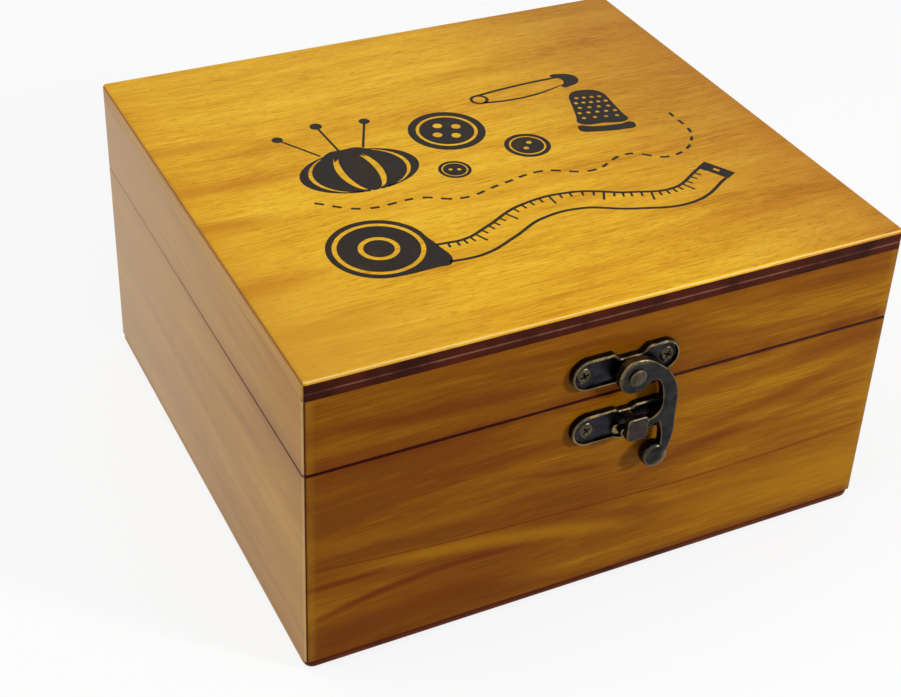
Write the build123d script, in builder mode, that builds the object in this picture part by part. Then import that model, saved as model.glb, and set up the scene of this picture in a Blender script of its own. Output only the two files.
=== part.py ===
from build123d import *

import math
import os

# A small sewing box: mitred hardwood sides, a plywood lid and bottom, two butt hinges at the back
# and a hook latch on the front. Millimetres. The origin is the centre of the underside, +X runs
# to the right along the front, which faces -Y, and +Z is up.

# Box
width = 144.8
depth = 134.6
height = 78.7
seam_height = 55.0
wall = 7.0
top_thick = 5.0
bottom_thick = 3.0
corner_round = 1.0
top_round = 0.9
bottom_corner_round = 2.4
bottom_round = 2.2
seam_round = 0.4

# Fits shared by every piece of hardware
screw_clear = 0.05
turn_clear = 0.06
gap = 0.3

# Latch plates: flat castings with a raised rim round a sunk floor
plate_floor = 1.1
plate_thick = 1.7
rim_wide = 0.55
rim_edge = 0.22
outline_round = 1.3
boss_radius = 4.4
latch_x = 1.8

latch_plate_length = 26.5
latch_plate_lobe = 7.9
latch_plate_shift = -0.95
latch_plate_above_seam = 7.5
latch_screw_spacing = 20.5
latch_notch_deep = 1.6
latch_notch_floor = 5.6
latch_notch_slope = 50

catch_plate_length = 25.9
catch_plate_lobe = 7.8
catch_plate_shift = -0.15
catch_plate_below_seam = 7.6
catch_screw_spacing = 18.6
catch_notch_deep = 0.6
catch_notch_floor = 3.0
catch_notch_slope = 30
catch_boss_above_stud = -2.0
pip_radius = 1.3
pip_past_rim = 0.3
pip_left_of_stud = 2.4
pip_below_stud = 3.3

# Hook, its rivet and the stud it closes on
pivot_above_seam = 6.2
stud_drop = 12.1
stud_shift = 0.5
hook_past_rim = 0.9
hook_thick = 2.0
hook_eye_radius = 4.3
hook_reach = 11.1
hook_tail_drop = 27.2
thumb_radius = 3.2
thumb_thick = 3.6
thumb_round = 1.3
tooth_wide = 2.0
tooth_past_stud = 2.2
hook_edge_round = 0.45
hook_corner_round = 0.8
hook_boss_radius = 2.7
rivet_radius = 1.3
rivet_head_radius = 2.05
rivet_head_high = 0.9
rivet_head_edge = 0.3
stud_radius = 1.1
stud_head_wide = 5.2
stud_head_tall = 6.0
stud_head_thick = 1.5
stud_head_round = 1.2
stud_head_edge = 0.5
stud_head_below_pin = 0.9
shank_in_wood = 4.5

# Latch screws
latch_screw_head = 1.85
latch_screw_shank = 0.9
latch_screw_length = 6.0
screw_crown = 0.3

# Hinges
hinge_inset = 32.0
leaf_length = 22.0
leaf_tall = 10.5
leaf_thick = 1.0
leaf_corner = 1.5
knuckle_radius = 1.7
knuckle_gap = 0.15
middle_knuckle = 8.0
pin_radius = 0.7
pin_clear = 0.05
pin_head_radius = 1.15
pin_head_thick = 0.6
leaf_screw_spacing = 13.0
leaf_screw_from_pin = 6.4
leaf_screw_head = 1.7
leaf_screw_shank = 0.8
leaf_screw_length = 5.5

# Worked out from the sizes above
lid_low = seam_height
lid_high = height - top_thick
pivot_z = seam_height + pivot_above_seam
stud_x = latch_x + stud_shift
stud_z = pivot_z - stud_drop
pip_high = plate_thick + pip_past_rim - plate_floor
hook_back = plate_thick + hook_past_rim
hook_front = hook_back + hook_thick
latch_plate_x = latch_x + latch_plate_shift
latch_plate_z = seam_height + latch_plate_above_seam
catch_plate_x = latch_x + catch_plate_shift
catch_plate_z = seam_height - catch_plate_below_seam
hinge_x = width / 2 - hinge_inset
pin_y = depth / 2 + knuckle_radius + gap
pin_z = seam_height

front = Plane(origin=(0, -depth / 2, 0), x_dir=(1, 0, 0), z_dir=(0, -1, 0))
back = Plane(origin=(0, depth / 2, 0), x_dir=(-1, 0, 0), z_dir=(0, 1, 0))
pivot_plane = front.shift_origin((latch_x, -depth / 2, pivot_z))

latch_screw_spots = [
    (latch_plate_x + side * latch_screw_spacing / 2, latch_plate_z) for side in (-1, 1)
]
catch_screw_spots = [
    (catch_plate_x + side * catch_screw_spacing / 2, catch_plate_z) for side in (-1, 1)
]


def leaf_screw_spots(up):
    """Screw places on the back plane, above the hinge line for up = 1 and below it for up = -1."""
    return [
        (side * hinge_x + along * leaf_screw_spacing / 2, pin_z + up * leaf_screw_from_pin)
        for side in (-1, 1)
        for along in (-1, 1)
    ]


def save(piece, name):
    """Label a finished piece and write it as one STEP file."""
    piece.part.label = name
    export_step(piece.part, f"parts/{name}.step")


# Wooden box


def mitre_outline(side):
    """The plan of one board between its two 45 degree mitres, drawn a little past the wood."""
    out = 1.0
    across = wall + out
    corners = {"front": ((-1, -1), (1, -1)), "back": ((-1, 1), (1, 1))}
    corners |= {"left": ((-1, -1), (-1, 1)), "right": ((1, -1), (1, 1))}
    (ax, ay), (bx, by) = corners[side]

    def at(sx, sy, grow):
        return sx * (width / 2 + grow), sy * (depth / 2 + grow)

    return [at(ax, ay, out), at(bx, by, out), at(bx, by, -across), at(ax, ay, -across)]


def side_board(side, low, high, seam_on_top, plane=None, holes=()):
    """A mitred side board between two heights, with pilot holes (spot, radius, depth) in its face."""
    with BuildPart() as board:
        with BuildSketch(Plane.XY.offset(low)):
            RectangleRounded(width, depth, corner_round)
            Rectangle(width - 2 * wall, depth - 2 * wall, mode=Mode.SUBTRACT)
        extrude(amount=high - low)
        seam_face = board.faces().sort_by(Axis.Z)[-1 if seam_on_top else 0]
        fillet(seam_face.outer_wire().edges(), seam_round)
        with BuildSketch(Plane.XY.offset(low)):
            with BuildLine():
                Polyline(mitre_outline(side), close=True)
            make_face()
        extrude(amount=high - low, mode=Mode.INTERSECT)
        for spot, radius, deep in holes:
            with BuildSketch(plane):
                with Locations(spot):
                    Circle(radius)
            extrude(amount=-deep, mode=Mode.SUBTRACT)
    return board


def pilot_holes(spots, shank, length):
    """Holes a little wider and deeper than the screw's shank, from the face of the wood."""
    return [(spot, shank + screw_clear, length + gap) for spot in spots]


def panel(low, thick, corner, edge_round, rounded_top):
    """A plywood panel as large as the box, with its outer edge rounded on one side."""
    with BuildPart() as sheet:
        with BuildSketch(Plane.XY.offset(low)):
            RectangleRounded(width, depth, corner)
        extrude(amount=thick)
        outer = sheet.faces().sort_by(Axis.Z)[-1 if rounded_top else 0]
        fillet(outer.edges(), min(edge_round, 0.95 * corner, 0.9 * thick))
    return sheet


# Latch


def plate_outline(length, lobe, centre, boss, notch_floor, notch_deep, notch_slope):
    """Two rounded lobes joined at a waist: a notch in the top edge and a round boss below it."""
    cx, cz = centre
    with BuildSketch(mode=Mode.PRIVATE) as outline:
        with Locations((cx, cz)):
            SlotOverall(length, lobe)
        with Locations(boss):
            Circle(boss_radius)
        mouth = notch_floor + 2 * boss_radius / math.tan(math.radians(notch_slope))
        flare = 180 - notch_slope
        with Locations((boss[0], cz + lobe / 2 - notch_deep)):
            Trapezoid(mouth, boss_radius, flare, flare, 0, (Align.CENTER, Align.MIN), Mode.SUBTRACT)
        lobe_ends = (length - lobe) / 2
        corners = outline.vertices().filter_by(lambda v: abs(abs(v.X - cx) - lobe_ends) > 0.01)
        fillet(corners, outline_round)
    return outline.sketch


def latch_casting(outline, spots):
    """A screwed plate: a rim round a sunk floor, and two countersunk holes in the floor."""
    with BuildPart() as plate:
        with BuildSketch(front):
            add(outline)
        extrude(amount=plate_thick)
        with BuildSketch(front.offset(plate_floor)):
            add(outline)
            offset(amount=-rim_wide)
        extrude(amount=plate_thick, mode=Mode.SUBTRACT)
        rim = plate.faces().filter_by(Axis.Y).sort_by(Axis.Y)[0]
        chamfer(rim.outer_wire().edges(), rim_edge)
        with Locations(front.offset(plate_floor)):
            with Locations(*spots):
                CounterSinkHole(
                    latch_screw_shank + screw_clear,
                    latch_screw_head + screw_clear,
                    depth=plate_thick,
                    counter_sink_angle=90,
                )
    return plate


def wood_screw(head, shank, length):
    """A countersunk screw about +Z: the head's rim is at zero, its low crown above, its shank below."""
    with BuildPart() as screw:
        with BuildSketch(Plane.XZ):
            with BuildLine():
                Polyline(
                    (0, screw_crown),
                    (0, -length),
                    (shank, -length + 2 * shank),
                    (shank, shank - head),
                    (head, 0),
                    (0.6 * head, screw_crown),
                    close=True,
                )
            make_face()
        revolve(axis=Axis.Z)
    return screw.part


def screw_group(screw, plane, spots):
    """The same screw at each spot of a plane."""
    with BuildPart() as group:
        with Locations(plane):
            with Locations(*spots):
                add(screw)
    return group


def rivet(radius, head_radius, head_high):
    """A round rivet about +Z of the front plane, from inside the wood to its domed head."""
    head_low = hook_front + turn_clear
    with BuildPart() as piece:
        with BuildSketch(Plane.XZ):
            with BuildLine():
                Polyline(
                    (0, head_low + head_high),
                    (0, -shank_in_wood),
                    (radius, -shank_in_wood),
                    (radius, head_low),
                    (head_radius, head_low),
                    (head_radius, head_low + rivet_head_edge),
                )
                TangentArc(
                    (0, head_low + head_high),
                    (head_radius, head_low + rivet_head_edge),
                    tangent=(1, 0),
                )
            make_face()
        revolve(axis=Axis.Z)
    return piece.part


def hook_point(across, down):
    """A point of the hook's outline, as shares of its reach and of its tail's drop."""
    return across * hook_reach, -down * hook_tail_drop


def thumb_centre():
    """The middle of the round thumb piece at the end of the tail, about the rivet."""
    return 0.675 * hook_reach, thumb_radius - hook_tail_drop


def hook_outline():
    """The hook's arm seen from the front, about its rivet: eye, arch, tooth, and a tail that ends
    in the middle of the thumb piece."""
    under = stud_drop + stud_radius + gap
    below = under + tooth_wide
    middle = (under + below) / 2
    tip = math.atan2(-stud_drop, stud_shift) - tooth_past_stud / middle
    root = math.radians(-66)
    low_root = math.radians(-63)

    def on_arc(radius, angle):
        return radius * math.cos(angle), radius * math.sin(angle)

    eye_top = (0, hook_eye_radius)
    eye_low = on_arc(hook_eye_radius, math.radians(-32))
    nose_x, nose_y = on_arc(middle, tip)
    nose = (nose_x + math.sin(tip) * tooth_wide / 2, nose_y - math.cos(tip) * tooth_wide / 2)
    with BuildSketch(mode=Mode.PRIVATE) as outline:
        with BuildLine():
            outer = Spline(
                eye_top,
                hook_point(0.42, -0.095),
                hook_point(0.80, 0.055),
                hook_point(1.0, 0.27),
                hook_point(1.005, 0.56),
                hook_point(0.96, 0.76),
                tangents=[(1, 0), (-0.25, -1)],
            )
            foot = Spline(
                outer @ 1,
                hook_point(0.80, 0.90),
                hook_point(0.715, 0.82),
                tangents=[(-0.25, -1), (0.1, 1)],
            )
            heel = Spline(
                foot @ 1,
                hook_point(0.725, 0.66),
                on_arc(below, low_root),
                tangents=[(0.1, 1), (-0.3, 1)],
            )
            RadiusArc(heel @ 1, on_arc(below, tip), below)
            ThreePointArc(on_arc(below, tip), nose, on_arc(under, tip))
            RadiusArc(on_arc(under, tip), on_arc(under, root), -under)
            throat = Spline(
                on_arc(under, root),
                hook_point(0.655, 0.27),
                hook_point(0.50, 0.09),
                eye_low,
                tangents=[(-math.sin(root), math.cos(root)), (-1, -0.2)],
            )
            ThreePointArc(throat @ 1, (-hook_eye_radius, 0), eye_top)
        make_face()
        fillet(outline.vertices().sort_by_distance(heel @ 1)[0], hook_corner_round)
        fillet(outline.vertices().sort_by_distance(eye_low)[0], hook_corner_round)
    return outline.sketch


# Hinges


def knuckle_spans(middle):
    """Where a leaf's knuckles lie along the pin, from the hinge's centre: the middle or the ends."""
    half = leaf_length / 2
    if middle:
        return [(-middle_knuckle / 2, middle_knuckle / 2)]
    inner = middle_knuckle / 2 + knuckle_gap
    return [(-half, -inner), (inner, half)]


def free_spans(middle):
    """Where the other leaf's knuckles turn, with their running gap."""
    half = leaf_length / 2
    if middle:
        inner = middle_knuckle / 2
        return [(-half - gap, -inner), (inner, half + gap)]
    return [(-middle_knuckle / 2 - knuckle_gap, middle_knuckle / 2 + knuckle_gap)]


def hinge_leaf(side, up, middle):
    """One leaf of a butt hinge: a screwed flap and its knuckles round the pin's bore."""
    cx = side * hinge_x
    with BuildPart() as leaf:
        with BuildSketch(back) as flap:
            with Locations((-cx, pin_z + up * leaf_tall / 2)):
                Rectangle(leaf_length, leaf_tall)
            far = flap.vertices().group_by(Axis.Y)[-1 if up > 0 else 0]
            fillet(far, leaf_corner)
            for low, high in free_spans(middle):
                with Locations((-cx + (low + high) / 2, pin_z)):
                    Rectangle(high - low, 2 * (knuckle_radius + gap), mode=Mode.SUBTRACT)
        extrude(amount=leaf_thick)
        for low, high in knuckle_spans(middle):
            with BuildSketch(Plane.YZ.offset(cx + low)):
                with Locations((pin_y, pin_z)):
                    Circle(knuckle_radius)
            extrude(amount=high - low)
        with BuildSketch(Plane.YZ.offset(cx - leaf_length)):
            with Locations((pin_y, pin_z)):
                Circle(pin_radius + pin_clear)
        extrude(amount=2 * leaf_length, mode=Mode.SUBTRACT)
        spots = [spot for spot in leaf_screw_spots(up) if spot[0] * -side > 0]
        with Locations(back.offset(leaf_thick)):
            with Locations(*spots):
                CounterSinkHole(
                    leaf_screw_shank + screw_clear,
                    leaf_screw_head + screw_clear,
                    depth=leaf_thick,
                    counter_sink_angle=90,
                )
    return leaf


def hinge_pin(side):
    """A hinge pin with a low head against each end knuckle."""
    half = leaf_length / 2
    start = side * hinge_x - half - pin_head_thick
    with BuildPart() as pin:
        with BuildSketch(Plane.YZ.offset(start)):
            with Locations((pin_y, pin_z)):
                Circle(pin_radius)
        extrude(amount=leaf_length + 2 * pin_head_thick)
        for face in (start, side * hinge_x + half):
            with BuildSketch(Plane.YZ.offset(face)):
                with Locations((pin_y, pin_z)):
                    Circle(pin_head_radius)
            extrude(amount=pin_head_thick)
        ends = pin.faces().filter_by(Axis.X)
        outer = [ends.sort_by(Axis.X)[0], ends.sort_by(Axis.X)[-1]]
        chamfer([edge for face in outer for edge in face.edges()], pin_head_thick / 2)
    return pin


os.makedirs("parts", exist_ok=True)

base_holes = pilot_holes(catch_screw_spots, latch_screw_shank, latch_screw_length)
base_holes += [((stud_x, stud_z), stud_radius + screw_clear, shank_in_wood + gap)]
lid_holes = pilot_holes(latch_screw_spots, latch_screw_shank, latch_screw_length)
lid_holes += [((latch_x, pivot_z), rivet_radius + screw_clear, shank_in_wood + gap)]
base_hinge_holes = pilot_holes(leaf_screw_spots(-1), leaf_screw_shank, leaf_screw_length)
lid_hinge_holes = pilot_holes(leaf_screw_spots(1), leaf_screw_shank, leaf_screw_length)

for side in ("left", "right"):
    save(side_board(side, bottom_thick, seam_height, True), f"base_{side}")
    save(side_board(side, lid_low, lid_high, False), f"lid_{side}")
save(side_board("front", bottom_thick, seam_height, True, front, base_holes), "base_front")
save(side_board("front", lid_low, lid_high, False, front, lid_holes), "lid_front")
save(side_board("back", bottom_thick, seam_height, True, back, base_hinge_holes), "base_back")
save(side_board("back", lid_low, lid_high, False, back, lid_hinge_holes), "lid_back")
save(panel(0, bottom_thick, bottom_corner_round, bottom_round, False), "bottom_panel")
save(panel(lid_high, top_thick, corner_round, top_round, True), "top_panel")

# The latch plate carries a boss that holds the hook off the screws
latch_outline = plate_outline(
    latch_plate_length,
    latch_plate_lobe,
    (latch_plate_x, latch_plate_z),
    (latch_x, pivot_z),
    latch_notch_floor,
    latch_notch_deep,
    latch_notch_slope,
)
latch_casting_plain = latch_casting(latch_outline, latch_screw_spots)
with BuildPart() as latch_plate:
    add(latch_casting_plain.part)
    with BuildSketch(pivot_plane.offset(plate_floor)):
        Circle(hook_boss_radius)
    extrude(amount=hook_back - turn_clear - plate_floor)
    with BuildSketch(pivot_plane):
        Circle(rivet_radius + turn_clear)
    extrude(amount=hook_front, mode=Mode.SUBTRACT)
save(latch_plate, "latch_plate")

# The catch plate has a hole for the stud and a small round pip beside it
catch_outline = plate_outline(
    catch_plate_length,
    catch_plate_lobe,
    (catch_plate_x, catch_plate_z),
    (catch_plate_x, stud_z + catch_boss_above_stud),
    catch_notch_floor,
    catch_notch_deep,
    catch_notch_slope,
)
catch_casting_plain = latch_casting(catch_outline, catch_screw_spots)
with BuildPart() as catch_plate:
    add(catch_casting_plain.part)
    with BuildSketch(front.shift_origin((stud_x, -depth / 2, stud_z))):
        Circle(stud_radius + turn_clear)
    extrude(amount=plate_thick, mode=Mode.SUBTRACT)
    with BuildSketch(
        front.shift_origin(
            (stud_x - pip_left_of_stud, -depth / 2, stud_z - pip_below_stud)
        ).offset(plate_floor)
    ):
        Circle(pip_radius)
    extrude(amount=pip_high)
    pip_face = catch_plate.faces().filter_by(Axis.Y).sort_by(Axis.Y)[0]
    fillet(pip_face.edges(), 0.7 * pip_high)
save(catch_plate, "catch_plate")

latch_screw = wood_screw(latch_screw_head, latch_screw_shank, latch_screw_length)
floor_plane = front.offset(plate_floor)
save(screw_group(latch_screw, floor_plane, latch_screw_spots), "latch_screws")
save(screw_group(latch_screw, floor_plane, catch_screw_spots), "catch_screws")

rivet_shape = rivet(rivet_radius, rivet_head_radius, rivet_head_high)
save(screw_group(rivet_shape, front, [(latch_x, pivot_z)]), "latch_rivet")

# The stud's head is a rounded block that overlaps the hook's tooth from the front
stud_plane = front.shift_origin((stud_x, -depth / 2, stud_z))
with BuildPart() as catch_stud:
    with BuildSketch(stud_plane.offset(-shank_in_wood)):
        Circle(stud_radius)
    extrude(amount=shank_in_wood + hook_front + gap)
    with BuildSketch(stud_plane.offset(hook_front + gap)):
        with Locations((0, -stud_head_below_pin)):
            RectangleRounded(stud_head_wide, stud_head_tall, stud_head_round)
    extrude(amount=stud_head_thick)
    head_face = catch_stud.faces().filter_by(Axis.Y).sort_by(Axis.Y)[0]
    fillet(head_face.edges(), stud_head_edge)
save(catch_stud, "catch_stud")

# The hook is a flat arm with softened front edges, and a pebble at its end for the thumb
with BuildPart() as latch_hook:
    with BuildSketch(pivot_plane.offset(hook_back)):
        add(hook_outline())
    extrude(amount=hook_thick)
    hook_face = latch_hook.faces().sort_by(Axis.Y)[0]
    fillet(hook_face.edges(), hook_edge_round)
    with BuildPart(mode=Mode.PRIVATE) as thumb:
        with BuildSketch(pivot_plane.offset(hook_front - thumb_thick)):
            with Locations(thumb_centre()):
                Circle(thumb_radius)
        extrude(amount=thumb_thick)
        fillet(thumb.edges().filter_by(GeomType.CIRCLE), thumb_round)
    add(thumb.part)
    with BuildSketch(pivot_plane):
        Circle(rivet_radius + turn_clear)
    extrude(amount=2 * hook_front, mode=Mode.SUBTRACT)
save(latch_hook, "latch_hook")

for name, side in (("left", -1), ("right", 1)):
    save(hinge_leaf(side, -1, False), f"hinge_{name}_base_leaf")
    save(hinge_leaf(side, 1, True), f"hinge_{name}_lid_leaf")
    save(hinge_pin(side), f"hinge_{name}_pin")

leaf_screw = wood_screw(leaf_screw_head, leaf_screw_shank, leaf_screw_length)
leaf_face = back.offset(leaf_thick)
save(screw_group(leaf_screw, leaf_face, leaf_screw_spots(-1)), "hinge_base_screws")
save(screw_group(leaf_screw, leaf_face, leaf_screw_spots(1)), "hinge_lid_screws")
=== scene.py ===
# %% [markdown]
# A small wooden sewing box, finished for a photograph. The shapes of the wood, the hinges and the
# hook come from the CAD frame. This script gives every surface its finish, makes the two things
# that the CAD keeps plain or leaves out, the cross-slot screws and the print on the lid, and lights
# the whole like a product on a pale table. Blender works in metres and a cabinet maker in
# millimetres, so one helper turns the second into the first.
# %% Start from the CAD frame
import bpy, bmesh, math
from mathutils import Matrix, Vector


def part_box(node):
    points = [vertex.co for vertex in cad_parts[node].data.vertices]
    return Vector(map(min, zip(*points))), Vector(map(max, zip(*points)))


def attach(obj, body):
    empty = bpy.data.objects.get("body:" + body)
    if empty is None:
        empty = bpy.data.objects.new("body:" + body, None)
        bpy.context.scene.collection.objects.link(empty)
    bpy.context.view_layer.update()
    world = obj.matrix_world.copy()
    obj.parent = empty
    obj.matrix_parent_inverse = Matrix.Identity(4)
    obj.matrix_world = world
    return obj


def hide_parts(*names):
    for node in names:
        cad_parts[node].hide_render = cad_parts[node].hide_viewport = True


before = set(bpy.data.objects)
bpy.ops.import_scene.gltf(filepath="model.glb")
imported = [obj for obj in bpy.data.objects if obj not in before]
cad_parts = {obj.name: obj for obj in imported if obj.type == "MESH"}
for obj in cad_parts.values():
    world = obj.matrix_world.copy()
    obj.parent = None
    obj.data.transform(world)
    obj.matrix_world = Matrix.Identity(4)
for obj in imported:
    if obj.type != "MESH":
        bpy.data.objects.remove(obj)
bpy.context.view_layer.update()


def mm(length):
    """Millimetres in metres."""
    return length / 1000


# %% [markdown]
# The places that the finishes and the small pieces need are read from the frame and not typed
# again: the faces of the wood, the line where lid and base part, and the top. The wood's own
# patterns are easier to think about in millimetres, so a second set of numbers is kept in them.
# %% Places on the box
front_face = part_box("base_front")[0].y
back_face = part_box("base_back")[1].y
side_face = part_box("base_right")[1].x
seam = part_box("base_front")[1].z
top_low, top_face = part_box("top_panel")[0].z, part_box("top_panel")[1].z
half_wide, half_deep, seam_high = side_face * 1000, back_face * 1000, seam * 1000
panel_low, panel_high = top_low * 1000, top_face * 1000
print("front", front_face, "seam", seam, "top", top_face)

# %% [markdown]
# Colours are written as the eye reads them on a screen, from 0 to 255, because that is how a
# finisher compares them with a sample. Blender's sockets want linear light, so each is converted.
# %% Colours


def colour(red, green, blue):
    """A screen colour as Blender's linear light."""
    def linear(value):
        share = value / 255
        return share / 12.92 if share <= 0.04045 else ((share + 0.055) / 1.055) ** 2.4
    return (linear(red), linear(green), linear(blue), 1.0)


print("amber", [round(v, 3) for v in colour(150, 95, 24)])

# %% [markdown]
# A finish is a small tree of nodes. These helpers keep the trees readable: one starts a finish with
# its Principled shader, one puts a node down with its inputs filled or wired in the same line, and
# the rest name the few steps that every finish repeats.
# %% Starting a finish and wiring its nodes


def start_finish(name):
    """A new material with an empty tree, a Principled shader and its output."""
    finish = bpy.data.materials.new(name)
    finish.use_nodes = True
    nodes = finish.node_tree.nodes
    nodes.clear()
    skin = nodes.new("ShaderNodeBsdfPrincipled")
    out = nodes.new("ShaderNodeOutputMaterial")
    finish.node_tree.links.new(skin.outputs[0], out.inputs[0])
    return finish, skin


def feed(finish, node, inputs):
    """Fills a node's inputs: a socket is wired, anything else is set as its value."""
    for key, value in inputs.items():
        if isinstance(value, bpy.types.NodeSocket):
            finish.node_tree.links.new(value, node.inputs[key])
        else:
            node.inputs[key].default_value = value


def put(finish, kind, inputs, output=0, **settings):
    """Adds a node, sets it up, fills its inputs and returns one of its outputs."""
    node = finish.node_tree.nodes.new("ShaderNode" + kind)
    for key, value in settings.items():
        setattr(node, key, value)
    feed(finish, node, inputs)
    return node.outputs[output]


print("a finish starts with", len(start_finish("first_try")[0].node_tree.nodes), "nodes")
bpy.data.materials.remove(bpy.data.materials["first_try"])

# %% [markdown]
# Arithmetic, smooth steps, mixes and noise are what patterns are made of. `near` answers a question
# that is asked often here: how close is this point to a line, such as the seam.
# %% The small steps of a pattern


def sums(finish, how, a, b=0.0, c=0.0):
    """One step of arithmetic on numbers or sockets."""
    return put(finish, "Math", {0: a, 1: b, 2: c}, operation=how)


def times(finish, *values):
    """Numbers or sockets multiplied together."""
    product = values[0]
    for value in values[1:]:
        product = sums(finish, "MULTIPLY", product, value)
    return product


def fade(finish, value, low, high, out_low=0.0, out_high=1.0):
    """A smooth step from out_low to out_high as the value goes from low to high."""
    inputs = {"Value": value, "From Min": low, "From Max": high, "To Min": out_low, "To Max": out_high}
    return put(finish, "MapRange", inputs, interpolation_type="SMOOTHSTEP")


def near(finish, value, place, full, reach):
    """One within `full` of a place, fading to zero at `reach`."""
    gap = sums(finish, "ABSOLUTE", sums(finish, "SUBTRACT", value, place))
    return fade(finish, gap, full, reach, 1.0, 0.0)


def mixed(finish, share, a, b, how="MIX"):
    """Two colours mixed by a share."""
    return put(finish, "Mix", {0: share, 6: a, 7: b}, output=2, data_type="RGBA", blend_type=how)


def ramp(finish, value, stops):
    """Colours along a value, from (place, colour) stops."""
    out = put(finish, "ValToRGB", {0: value})
    steps = out.node.color_ramp.elements
    while len(steps) < len(stops):
        steps.new(0.5)
    for step, (place, shade) in zip(steps, stops):
        step.position, step.color = place, shade
    return out


def noise(finish, place, scale, detail=3.0, rough=0.5):
    """Cloudy noise over a place, about 0.5 in the middle."""
    return put(finish, "TexNoise", {"Vector": place, "Scale": scale, "Detail": detail, "Roughness": rough})


def rest_of(finish, share):
    """What is left of one when a share is taken away."""
    return sums(finish, "SUBTRACT", 1.0, share)


print("pattern helpers ready")

# %% [markdown]
# Wood is a bundle of long fibres, so all its marks are drawn out along the grain. The place is read
# from Object coordinates, because every board lies where it was sawn and the pattern then stays in
# the wood when the lid opens. It is turned so that the grain runs along X, counted in millimetres,
# and bent a little by a slow noise, because no grain is quite straight.
# %% A place in the wood


def wood_place(finish, along, shift, bend=4.0):
    """The plain place in millimetres, its three numbers, and the place with the grain bent."""
    spot = put(finish, "TexCoord", {}, output=3)
    plain = put(finish, "VectorMath", {0: spot, "Scale": 1000.0}, operation="SCALE")
    parts = put(finish, "SeparateXYZ", {0: plain}).node.outputs
    turn = 0.0 if along == "X" else math.radians(90)
    turned = put(finish, "Mapping", {"Vector": plain, "Location": shift, "Rotation": (0, 0, turn)})
    long_waves = put(finish, "VectorMath", {0: turned, 1: (0.010, 0.022, 0.022)}, operation="MULTIPLY")
    sway = times(finish, sums(finish, "SUBTRACT", noise(finish, long_waves, 1.0, 1.0), 0.5), bend * 2)
    shifted = put(finish, "CombineXYZ", {1: sway, 2: sway})
    bent = put(finish, "VectorMath", {0: turned, 1: shifted}, operation="ADD")
    return plain, parts, bent, sway


fibre_width, fibre_stretch = 0.42, 0.05


def drawn_out(finish, place, stretch, width, detail=3.0, rough=0.55):
    """Noise whose marks are about `width` across and 1 / stretch times as long as that."""
    long_place = put(finish, "VectorMath", {0: place, 1: (stretch, 1, 1)}, operation="MULTIPLY")
    return noise(finish, long_place, 1 / width, detail, rough)


def wood_tone(finish, place, broad, middle, fine):
    """A tone from dark to light wood, and the fine fibres for the bump."""
    wide = drawn_out(finish, place, 0.16, 13.0, 2.0)
    bands = drawn_out(finish, place, 0.035, 2.2)
    fibres = drawn_out(finish, place, fibre_stretch, fibre_width, 3.0, 0.65)
    tone = sums(finish, "MULTIPLY_ADD", wide, broad, times(finish, bands, middle))
    return sums(finish, "MULTIPLY_ADD", fibres, fine, tone), fibres


print("fibres about", fibre_width, "mm wide and", round(fibre_width / fibre_stretch, 1), "mm long")

# %% [markdown]
# Dark veins are what makes one board different from the next. Each is a long streak on a gentle
# arc, wide or thin, and fades out at its ends. They are placed one by one, as a grainer paints them:
# where along the board, how high, its slope and curve, half its width, its reach and its strength.
# The golden streaks under them, and the smudges on the lid, are drawn in the same way.
# %% Veins
thin_vein = 0.5


def veins(finish, up, ragged_up, along, streaks):
    """How much of a streak's colour shows; wide streaks are ragged and thin ones clean."""
    most = 0.0
    for middle, height, slope, curve, width, reach, strength in streaks:
        away = sums(finish, "SUBTRACT", along, middle)
        line = sums(finish, "MULTIPLY_ADD", sums(finish, "MULTIPLY_ADD", away, curve, slope), away, height)
        gap = sums(finish, "SUBTRACT", up if width < thin_vein else ragged_up, line)
        streak = near(finish, gap, 0.0, 0.0, width)
        ends = fade(finish, sums(finish, "ABSOLUTE", away), 0.35 * reach, reach, strength, 0.0)
        most = sums(finish, "MAXIMUM", most, times(finish, streak, ends))
    return most


base_front_veins = [
    (-45, 18.5, 0.070, -0.0042, 1.9, 36, 0.88), (-66, 23.4, -0.010, 0.0, 1.3, 17, 0.75),
    (0, 23.7, -0.030, 0.0006, 0.42, 120, 0.72), (45, 40.9, 0.200, 0.0, 3.4, 40, 0.42),
    (42, 34.6, 0.130, 0.0, 1.5, 28, 0.32), (-12, 36.3, -0.160, 0.0, 1.6, 15, 0.55),
    (30, 16.9, -0.040, -0.0040, 1.2, 34, 0.22), (-38, 4.6, 0.050, -0.0020, 3.2, 42, 0.5),
    (-36, 45.5, -0.080, 0.0010, 2.6, 36, 0.28), (-60, 9.5, 0.100, 0.0, 1.4, 22, 0.45),
    (-48, 9.5, 0.060, -0.0030, 8.5, 40, 0.62), (24, 33.0, 0.180, -0.0020, 3.6, 22, 0.55),
    (64, 51.5, 0.030, 0.0, 4.5, 26, 0.6), (44, 51.0, 0.060, 0.0, 2.4, 26, 0.35),
]
golden_streaks = [
    (-25, 21.5, -0.170, -0.0010, 3.4, 46, 0.65), (48, 15.0, 0.0, 0.0, 9.0, 44, 0.45),
    (-48, 33.0, -0.060, 0.0, 3.0, 30, 0.3),
]
lid_front_veins = [
    (-46, 62.6, -0.090, 0.0030, 2.6, 34, 0.4), (46, 60.2, -0.090, 0.0010, 2.0, 36, 0.4),
    (-6, 69.0, -0.050, 0.0010, 2.4, 42, 0.35), (-58, 57.5, 0.030, 0.0, 1.6, 22, 0.35),
    (66, 56.5, 0.020, 0.0, 2.6, 20, 0.7),
]
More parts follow.
